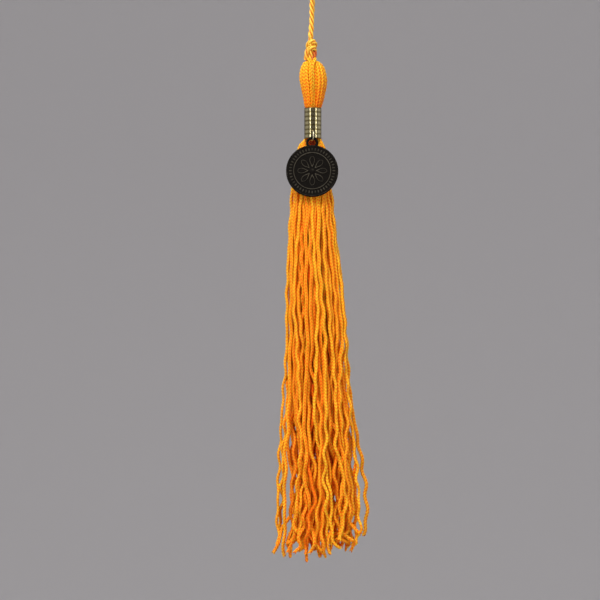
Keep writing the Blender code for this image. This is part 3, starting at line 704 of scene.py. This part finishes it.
layer_of = np.argsort(np.argsort(places[STRAND_LEVELS // 2, :, 1])) * SKIRT_LAYERS // STRANDS
for layer in range(SKIRT_LAYERS):
    members = np.flatnonzero(layer_of == layer)
    chosen = {label: [rows[n] for n in members] for label, rows in lengths.items()}
    layer_paths = chosen.pop("path")
    name = f"skirt_layer_{layer + 1}"
    skirt = grow(name, chains(name, layer_paths, **chosen), chain_yarn_tree, chain_rayon, Stitch=STITCH)
    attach(skirt, "tassel")
    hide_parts("yarn")

# Head: the same yarn folded over the knot, so that its lengths run from the fold down into the ferrule.
# They lie side by side and press together. At the front the fold's two ends come out from under the knot,
# meet in a V and stand out over the others.
HEAD_LENGTHS = 18
HEAD_SIDES = 12
HEAD_SECTIONS = (
    (56.0, 0.9, 0.8, -0.8, 0.9),
    (56.5, 2.4, 2.2, -0.6, 1.2),
    (57.4, 3.7, 3.5, -0.4, 1.5),
    (59.3, 4.8, 4.5, -0.1, 1.8),
    (61.6, 5.4, 5.1, 0.0, 1.95),
    (64.4, 5.65, 5.3, 0.2, 2.0),
    (67.4, 5.35, 5.1, 0.4, 1.95),
    (70.4, 4.8, 4.6, 0.4, 1.75),
    (73.4, 4.2, 4.1, 0.4, 1.55),
    (75.8, 3.75, 3.7, 0.2, 1.4),
    (77.2, 3.4, 3.4, 0.1, 1.25),
    (78.4, 2.85, 2.85, 0.0, 1.15),
    (83.0, 2.6, 2.6, 0.0, 1.1),
)
HEAD_STEP = 1.0 * MM
FRONT_ANGLE = math.radians(-93.0)
LIFT = 0.16 * MM
SUNK = 0.45 * MM
SWAY = 0.06
HEAD_WIDTH_CHANCE = (0.94, 1.06)
# The two lengths of the V in millimetres: middle x, y, z, half the way between them, their width
FRONT_PAIR = (
    (-0.45, -2.2, -55.5, 1.50, 1.5),
    (-0.45, -3.9, -56.5, 1.15, 1.5),
    (-0.45, -4.95, -57.8, 0.65, 1.5),
    (-0.45, -5.70, -59.6, 0.25, 1.5),
    (-0.35, -6.00, -62.0, 0.15, 1.5),
    (-0.20, -6.00, -64.6, 0.15, 1.4),
    (-0.05, -5.60, -67.6, 0.15, 1.25),
    (0.05, -4.90, -70.6, 0.15, 1.1),
    (0.10, -4.15, -73.6, 0.25, 1.1),
    (0.10, -3.65, -75.9, 0.40, 1.1),
    (0.00, -2.85, -78.4, 0.45, 1.15),
    (0.00, -2.60, -83.0, 0.45, 1.1),
)
# Painted shade deepens down the head and a little to its right, and is less on the two front lengths; some
# more is added by chance as a random tone
SHADE_FOOT = 1.0
SHADE_CURVE = 1.5
SHADE_RIGHT = 0.1
HEAD_CHANCE_SHADE = 0.15
PAIR_SHADE = 0.8

head = columns_of(SECTION_COLUMNS, HEAD_SECTIONS)
swell = np.sin(math.pi * np.linspace(0.0, 1.0, len(HEAD_SECTIONS)))
head_rows = []
for number in range(HEAD_LENGTHS):
    beside_front = number in (0, HEAD_LENGTHS - 1)
    at = FRONT_ANGLE + math.tau * (number + 0.5) / HEAD_LENGTHS + swell * looks.uniform(-SWAY, SWAY)
    reach = (looks.uniform(-LIFT, LIFT) - SUNK * beside_front) * swell
    columns = [
        head["centre_x"] + (head["half_width"] + reach) * np.cos(at),
        (head["half_depth"] + reach) * np.sin(at),
        -head["drop"],
        head["strand_width"] * looks.uniform(*HEAD_WIDTH_CHANCE),
    ]
    head_rows.append(np.stack(columns, axis=1))
x, y, z, beside, width = np.array(FRONT_PAIR).T * MM
head_rows += [np.stack([x + side * beside, y, z, width], axis=1) for side in (-1, 1)]
lengths = {"path": [], "width": [], "turn": [], "shade": []}
for number, rows in enumerate(head_rows):
    path = smooth_points(rows, HEAD_STEP)
    down = (-path[:, 2] - head["drop"][0]) / (head["drop"][-1] - head["drop"][0])
    rightward = clamp(path[:, 0] / head["half_width"].max())
    lengths["path"].append(path[:, :3])
    lengths["width"].append(path[:, 3])
    lengths["turn"].append(np.zeros(len(path)))
    # Painted shade, plus a random tone
    shade = SHADE_FOOT * clamp(down) ** SHADE_CURVE + SHADE_RIGHT * rightward
    shade = shade + looks.uniform(0.0, HEAD_CHANCE_SHADE)
    lengths["shade"].append(shade if number < HEAD_LENGTHS else PAIR_SHADE * shade)
head_paths = lengths.pop("path")
folded = grow(
    "head_folds",
    chains("head_folds", head_paths, **lengths),
    chain_yarn_tree,
    chain_rayon,
    Stitch=STITCH,
    Sides=HEAD_SIDES,
)
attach(folded, "tassel")
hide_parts("yarn")


# Yarn packed inside the head, seen only through the slits between the outer lengths.
# It is the same rayon, pressed tight, so it is drawn as one ribbed body.
def skin(name, rings, material, caps=(True, True), weld=0.001 * MM):
    """A smooth body through rings of points, with caps on its first and last ring."""
    rings = np.asarray(rings, float)
    rows, sides = rings.shape[:2]
    first = (np.arange(rows - 1)[:, None] * sides + np.arange(sides)).ravel()
    after = (np.arange(rows - 1)[:, None] * sides + (np.arange(sides) + 1) % sides).ravel()
    faces = np.stack([first, after, after + sides, first + sides], axis=1).tolist()
    if caps[0]:
        faces.append(list(range(sides)))
    if caps[1]:
        faces.append(list(range((rows - 1) * sides, rows * sides)))
    mesh = bpy.data.meshes.new(name)
    mesh.from_pydata(rings.reshape(-1, 3).tolist(), [], faces)
    shape = bmesh.new()
    shape.from_mesh(mesh)
    bmesh.ops.remove_doubles(shape, verts=shape.verts, dist=weld)
    bmesh.ops.recalc_face_normals(shape, faces=shape.faces)
    shape.to_mesh(mesh)
    shape.free()
    mesh.shade_smooth()
    mesh.materials.append(material)
    return add_object(name, mesh)


def make_packed_rayon():
    """The same rayon yarn packed inside the head: fine ribs, painted a deep orange as shade."""
    material, tree, shader = start_material(
        "packed_rayon_yarn",
        # Painted shade: a deeper orange than the outer yarn
        Base_Color=linear("E58A12"),
        Roughness=0.7,
        Subsurface_Weight=0.5,
        Subsurface_Radius=(1.0, 0.36, 0.05),
        Subsurface_Scale=0.9 * MM,
    )
    place = add_node(tree, "ShaderNodeTexCoord")["Object"]
    # Ribs side by side across the body, about 1.6 mm apart
    ribs = add_node(tree, "ShaderNodeTexWave", {"Vector": place, "Scale": 196.0, "Distortion": 2.0})["Fac"]
    bump = add_node(tree, "ShaderNodeBump", {"Strength": 0.6, "Distance": 0.2 * MM, "Height": ribs})[0]
    fill(shader, {"Normal": bump})
    return material


CORE_SHARE = 0.9
CORE_SIDES = 40
angles = np.linspace(0.0, math.tau, CORE_SIDES, endpoint=False)
core_rings = [
    [(centre + CORE_SHARE * wide * math.cos(a), CORE_SHARE * deep * math.sin(a), -drop) for a in angles]
    for drop, wide, deep, centre in zip(*(head[label] for label in SECTION_COLUMNS[:4]))
]
head_core = skin("head_core", core_rings, make_packed_rayon())
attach(head_core, "tassel")


# Ferrule: a thin brass tube with a pale plating, rolled into ribs and crimped over the folded yarn.
# Its seam is at the back, and a hole in the front wall takes the jump ring.
def finish_metal(tree, shader, tone, colours, roughness):
    """Links a metal's colour and roughness, each from its value at tone 0 to that at tone 1."""
    mixed = {0: tone, 6: linear(colours[0]), 7: linear(colours[1])}
    colour = add_node(tree, "ShaderNodeMix", mixed, data_type="RGBA")[2]
    rough = add_node(tree, "ShaderNodeMapRange", {0: tone, 3: roughness[0], 4: roughness[1]})[0]
    fill(shader, {"Base Color": colour, "Roughness": rough})


def make_plated_brass():
    """Nickel-plated brass, rolled: pale olive metal that mirrors the lights, browner in its grooves."""
    material, tree, shader = start_material("nickel_plated_brass", Metallic=1.0)
    place = add_node(tree, "ShaderNodeTexCoord")["Object"]
    sunk = add_node(tree, "ShaderNodeAttribute", attribute_name="sunk")["Fac"]
    cloud = add_node(tree, "ShaderNodeTexNoise", {"Vector": place, "Scale": 300.0, "Detail": 4.0})[0]
    groove = add_node(tree, "ShaderNodeMath", {0: sunk, 1: 0.75}, operation="MULTIPLY")[0]
    tone = add_node(tree, "ShaderNodeMath", {0: cloud, 1: 0.3, 2: groove}, operation="MULTIPLY_ADD")[0]
    finish_metal(tree, shader, tone, ("B4AA84", "5C5026"), (0.08, 0.25))
    # Fine scuffs, about 0.7 mm across
    scuffs = add_node(tree, "ShaderNodeTexNoise", {"Vector": place, "Scale": 1400.0, "Detail": 3.0})[0]
    bump = add_node(tree, "ShaderNodeBump", {"Strength": 0.1, "Distance": 0.02 * MM, "Height": scuffs})[0]
    fill(shader, {"Normal": bump})
    return material


FERRULE_TOP = 77.9 * MM
FERRULE_HEIGHT = 13.9 * MM
FERRULE_RADIUS = 4.0 * MM
FERRULE_INNER_RADIUS = 3.5 * MM
FERRULE_RIBS = 7
FERRULE_GROOVE = 0.06 * MM
FERRULE_LIP = 0.12 * MM
FERRULE_SEGMENTS = 120
POINTS_IN_A_RIB = 16
SEAM_DEPTH = 0.08 * MM
SEAM_AT = FERRULE_SEGMENTS // 4
RING_CENTRE = Vector((-0.35, -4.9, -90.87)) * MM
RING_RADIUS = 2.33 * MM
RING_WIRE_DIAMETER = 0.5 * MM
RING_YAW = math.radians(15.0)
RING_CLEARANCE = 0.2 * MM

steps = np.arange(FERRULE_RIBS * POINTS_IN_A_RIB + 1) / POINTS_IN_A_RIB
dips = (0.5 + 0.5 * np.cos(math.tau * steps)) ** 2
outer = zip(FERRULE_RADIUS - FERRULE_GROOVE * dips, FERRULE_TOP + FERRULE_HEIGHT * steps / FERRULE_RIBS)
bottom = FERRULE_TOP + FERRULE_HEIGHT
lip_radius = FERRULE_INNER_RADIUS + FERRULE_LIP
inner_top = [(FERRULE_INNER_RADIUS, FERRULE_TOP + FERRULE_LIP), (lip_radius, FERRULE_TOP)]
inner_bottom = [(lip_radius, bottom), (FERRULE_INNER_RADIUS, bottom - FERRULE_LIP)]
profile = np.array([*inner_top, *outer, *inner_bottom, inner_top[0]])
radii, drops = profile[:, :1], profile[:, 1:]
radii = radii - SEAM_DEPTH * (radii > lip_radius) * (np.arange(FERRULE_SEGMENTS) == SEAM_AT)
angles = np.linspace(0.0, math.tau, FERRULE_SEGMENTS, endpoint=False)
ferrule_rings = np.broadcast_arrays(radii * np.cos(angles), radii * np.sin(angles), -drops)
ferrule = skin("ferrule_tube", np.stack(ferrule_rings, axis=2), make_plated_brass(), caps=(False, False))


def add_wire_ring(name, place, radius, wire_radius, around=72, across=20):
    """A closed ring of round wire, put in its place."""
    bpy.ops.mesh.primitive_torus_add(
        major_radius=radius, minor_radius=wire_radius, major_segments=around, minor_segments=across
    )
    ring = bpy.context.object
    ring.name = name
    ring.data.transform(place)
    return ring


ring_place = Matrix.Translation(RING_CENTRE) @ Matrix.Rotation(math.pi / 2 + RING_YAW, 4, "Z")
ring_place = ring_place @ Matrix.Rotation(math.pi / 2, 4, "X")
hole_radius = RING_WIRE_DIAMETER / 2 + RING_CLEARANCE
ring_hole = add_wire_ring("ring_hole", ring_place, RING_RADIUS, hole_radius, around=64)
hole = ferrule.modifiers.new("Hole", "BOOLEAN")
hole.operation = "DIFFERENCE"
hole.object = ring_hole
ferrule.data = take_made_mesh(ferrule)
bpy.data.objects.remove(ring_hole)
radii = np.array([math.hypot(vertex.co.x, vertex.co.y) for vertex in ferrule.data.vertices])
mark_points(ferrule.data, "sunk", clamp((FERRULE_RADIUS - radii) / FERRULE_GROOVE))
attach(ferrule, "tassel")
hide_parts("ferrule")


# Jump ring: a turn of plated brass wire through the hole in the ferrule's wall, closed end to end.
# The wire is drawn bright, so it shows as one thin light line.
def make_plated_wire():
    """Plated brass wire, drawn and polished: bright pale gold with faint scuffs."""
    material, tree, shader = start_material("plated_brass_wire", Metallic=1.0)
    place = add_node(tree, "ShaderNodeTexCoord")["Object"]
    cloud = add_node(tree, "ShaderNodeTexNoise", {"Vector": place, "Scale": 900.0, "Detail": 3.0})[0]
    finish_metal(tree, shader, cloud, ("F6EFD4", "CDBB84"), (0.2, 0.4))
    return material


jump_ring = add_wire_ring("jump_ring_wire", ring_place, RING_RADIUS, RING_WIRE_DIAMETER / 2, across=14)
jump_ring.data.shade_smooth()
jump_ring.data.materials.append(make_plated_wire())
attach(jump_ring, "tassel")
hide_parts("jump_ring")


# Charm: a cast medallion blackened all over and rubbed a little bare on its raised lines. It has a rim,
# a band of long beads, a raised ring and a plain rosette of petals, with an eyelet cast at its top.
def make_blackened_metal():
    """Zinc alloy, cast and blackened: matt brown-black, a little lighter where the finish is rubbed."""
    material, tree, shader = start_material("blackened_cast_metal", Specular_IOR_Level=0.05)
    place = add_node(tree, "ShaderNodeTexCoord")["Object"]
    raised = add_node(tree, "ShaderNodeAttribute", attribute_name="raised")["Fac"]
    cloud = add_node(tree, "ShaderNodeTexNoise", {"Vector": place, "Scale": 380.0, "Detail": 5.0})[0]
    both = add_node(tree, "ShaderNodeMath", {0: raised, 1: cloud}, operation="ADD")[0]
    wear = add_node(tree, "ShaderNodeMapRange", {0: both, 1: 0.8, 2: 1.5})[0]
    finish_metal(tree, shader, wear, ("0E0B08", "4A453A"), (0.68, 0.48))
    # Casting grain, about 0.5 mm across
    grain = add_node(tree, "ShaderNodeTexNoise", {"Vector": place, "Scale": 2000.0, "Detail": 4.0})[0]
    bump = add_node(tree, "ShaderNodeBump", {"Strength": 0.3, "Distance": 0.04 * MM, "Height": grain})[0]
    fill(shader, {"Normal": bump})
    return material


# Radii and heights of the medallion in millimetres, its heights from the eyelet's middle
CHARM_TILT = math.radians(7.0)
CHARM_RADIUS = 11.9
CHARM_DROP = 16.5
CHARM_SEGMENTS = 320
CHARM_RINGS = 110
MIDDLE_RADIUS = 0.1
FIRST_RING_RADIUS = 0.3
FIELD_HEIGHT = 0.5
RIM = (11.3, 11.75, 0.2)
INNER_RING = (8.2, 8.65, 0.25)
BOSS = (-1.0, 1.1, 0.18)
PETALS = 8
PETAL_SPAN = (1.6, 6.8)
PETAL_WIDTH = 0.36
PETAL_BLUNTNESS = 0.6
PETAL_DOME = 0.14
PETAL_LINE = (0.0, 0.36, 0.16)
# Height over the field that the rubbed finish starts at, and how far over it the finish is bare
WEAR_START = 0.14
WEAR_SPAN = 0.14
SHOULDER = 0.1
BACK_RADII = (CHARM_RADIUS, 11.82, 11.65, 11.0, 10.8, 6.0, MIDDLE_RADIUS)
BACK_HEIGHTS = (-0.65, -0.82, -0.9, -0.9, -0.78, -0.78, -0.78)
BEADS = 44
BEAD_CIRCLE = 9.9
BEAD_SIZE = (0.32, 0.72, 0.2)
EYELET_RADIUS = 2.2 * MM
EYELET_THICKNESS = 1.2 * MM
EYELET_DROP = 3.38 * MM


def raised_band(distance, start, end, height):
    """Height of a raised band from start to end, with soft shoulders."""
    up = clamp((distance - start + SHOULDER) / (2 * SHOULDER))
    down = clamp((end + SHOULDER - distance) / (2 * SHOULDER))
    step = np.minimum(up, down)
    return height * step * step * (3 - 2 * step)


radii = [MIDDLE_RADIUS, *np.linspace(FIRST_RING_RADIUS, CHARM_RADIUS, CHARM_RINGS)]
angles = np.linspace(0.0, math.tau, CHARM_SEGMENTS, endpoint=False)
reach, angle = np.meshgrid(radii, angles, indexing="ij")
height = sum((raised_band(reach, *band) for band in (RIM, INNER_RING, BOSS)), FIELD_HEIGHT)
span = clamp((reach - PETAL_SPAN[0]) / (PETAL_SPAN[1] - PETAL_SPAN[0]))
half_petal = PETAL_WIDTH * np.sin(math.pi * span) ** PETAL_BLUNTNESS
across = np.abs((angle * PETALS / math.tau + 0.5) % 1.0 - 0.5)
from_edge = (half_petal - across) * math.tau * reach / PETALS
on_petal = (span > 0.0) & (span < 1.0) & (from_edge > -SHOULDER)
dome = PETAL_DOME * np.sqrt(clamp(1.0 - (across / np.maximum(half_petal, TINY)) ** 2))
height = height + on_petal * (dome + raised_band(from_edge, *PETAL_LINE))
height[-1] = FIELD_HEIGHT
charm_place = Matrix.Translation(RING_CENTRE) @ Matrix.Rotation(math.pi / 2 - CHARM_TILT, 4, "X")
disc_place = charm_place @ Matrix.Translation((0.0, -CHARM_DROP * MM, 0.0))
face_rings = np.stack([reach * np.cos(angle), reach * np.sin(angle), height], axis=2)
back_rings = [
    [(radius * math.cos(a), radius * math.sin(a), z) for a in angles]
    for radius, z in zip(BACK_RADII, BACK_HEIGHTS)
]
blackened_metal = make_blackened_metal()
charm = skin("charm_medallion", np.concatenate([face_rings, back_rings]) * MM, blackened_metal)
heights = np.array([vertex.co.z for vertex in charm.data.vertices]) / MM
mark_points(charm.data, "raised", clamp((heights - FIELD_HEIGHT - WEAR_START) / WEAR_SPAN))
charm.data.transform(disc_place)
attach(charm, "charm")
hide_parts("charm")


def make_bead_ring_tree():
    """Sets long flat beads side by side on a ring, each pointing at its middle."""
    measures = {"Beads": 44, "Circle": 9.9 * MM, "Wide": 0.3, "Long": 0.7, "High": 0.2}
    tree, given = start_tree("bead_ring", measures)
    circle = {"Resolution": given["Beads"], "Radius": given["Circle"]}
    ring = add_node(tree, "GeometryNodeCurvePrimitiveCircle", circle)[0]
    points = add_node(tree, "GeometryNodeCurveToPoints", {"Curve": ring}, mode="EVALUATED")[0]
    place = add_node(tree, "GeometryNodeInputPosition")[0]
    turned = add_node(
        tree, "FunctionNodeAlignRotationToVector", {"Vector": place}, axis="Y", pivot_axis="Z"
    )[0]
    bead = add_node(tree, "GeometryNodeMeshIcoSphere", {"Radius": 1.0 * MM, "Subdivisions": 3})[0]
    size = add_node(tree, "ShaderNodeCombineXYZ", {0: given["Wide"], 1: given["Long"], 2: given["High"]})[0]
    each = {"Points": points, "Instance": bead, "Rotation": turned, "Scale": size}
    placed = add_node(tree, "GeometryNodeInstanceOnPoints", each)[0]
    joined = add_node(tree, "GeometryNodeRealizeInstances", {"Geometry": placed})[0]
    worn = {"Geometry": joined, "Name": "raised", "Value": 0.6}
    marked = add_node(tree, "GeometryNodeStoreNamedAttribute", worn)[0]
    return end_tree(tree, marked, given["Material"])


beads = grow(
    "charm_beads",
    bpy.data.meshes.new("charm_beads"),
    make_bead_ring_tree(),
    blackened_metal,
    Beads=BEADS,
    Circle=BEAD_CIRCLE * MM,
    Wide=BEAD_SIZE[0],
    Long=BEAD_SIZE[1],
    High=BEAD_SIZE[2],
)
beads.data.transform(disc_place @ Matrix.Translation((0.0, 0.0, FIELD_HEIGHT * MM)))
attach(beads, "charm")

eyelet_place = charm_place @ Matrix.Translation((0.0, -EYELET_DROP, 0.0))
eyelet = add_wire_ring("charm_eyelet", eyelet_place, EYELET_RADIUS, EYELET_THICKNESS / 2)
eyelet.data.shade_smooth()
eyelet.data.materials.append(blackened_metal)
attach(eyelet, "charm")

# Stage: a wide seamless bowl of pale grey paper, far enough off for a camera on any side, and a softbox
# above the front. A tall soft strip at each side draws the bright lines on the ferrule, and soft panels
# behind the strips light its edges.
BOWL_RADIUS = 3.2
BOWL_FLOOR = -1.5
BOWL_RIM = 2.65
BOWL_CURVE = 1.75
BOWL_SEGMENTS = 96
BOWL_STEPS = 24
# Rectangular lights that don't show themselves: name, place, width, height and power in watts
LIGHTS = (
    ("softbox_above", (-0.35, -0.80, 1.0), 1.0, 0.7, 22.0),
    ("strip_left", (-0.59, -0.82, -0.10), 0.10, 1.1, 3.3),
    ("strip_right", (0.69, -0.73, -0.10), 0.10, 1.1, 2.9),
    ("panel_left", (-1.20, -0.05, 0.0), 1.3, 1.3, 2.0),
    ("panel_right", (1.20, 0.05, 0.0), 1.2, 1.3, 1.9),
)
LIT_MIDDLE = Vector((0.0, 0.0, -0.15))

bends = np.linspace(0.0, math.pi / 2, BOWL_STEPS)
bowl_radii = [*(BOWL_RADIUS - BOWL_CURVE + BOWL_CURVE * np.sin(bends)), BOWL_RADIUS]
bowl_heights = [*(BOWL_FLOOR + BOWL_CURVE * (1.0 - np.cos(bends))), BOWL_RIM]
angles = np.linspace(0.0, math.tau, BOWL_SEGMENTS, endpoint=False)
bowl_rings = [
    [(radius * math.cos(a), radius * math.sin(a), z) for a in angles]
    for radius, z in zip(bowl_radii, bowl_heights)
]
paper = start_material("grey_paper", Base_Color=linear("CECCCE"), Roughness=0.9)[0]
bowl = skin("paper_bowl", bowl_rings, paper, caps=(True, False))

for name, place, width, height, power in LIGHTS:
    light = bpy.data.lights.new(name, "AREA")
    light.shape = "RECTANGLE"
    light.size = width
    light.size_y = height
    light.energy = power
    box = add_object(name, light)
    box.location = place
    box.rotation_euler = (LIT_MIDDLE - Vector(place)).to_track_quat("-Z", "Y").to_euler()
    box.visible_camera = False

# Light bounces on between the lengths of yarn, so that the slits glow orange
scene.cycles.max_bounces = 16
scene.cycles.diffuse_bounces = 12

world = bpy.data.worlds.new("studio")
scene.world = world
world.use_nodes = True
fill(world.node_tree.nodes["Background"], {"Color": linear("E4E2E0"), "Strength": 0.66})
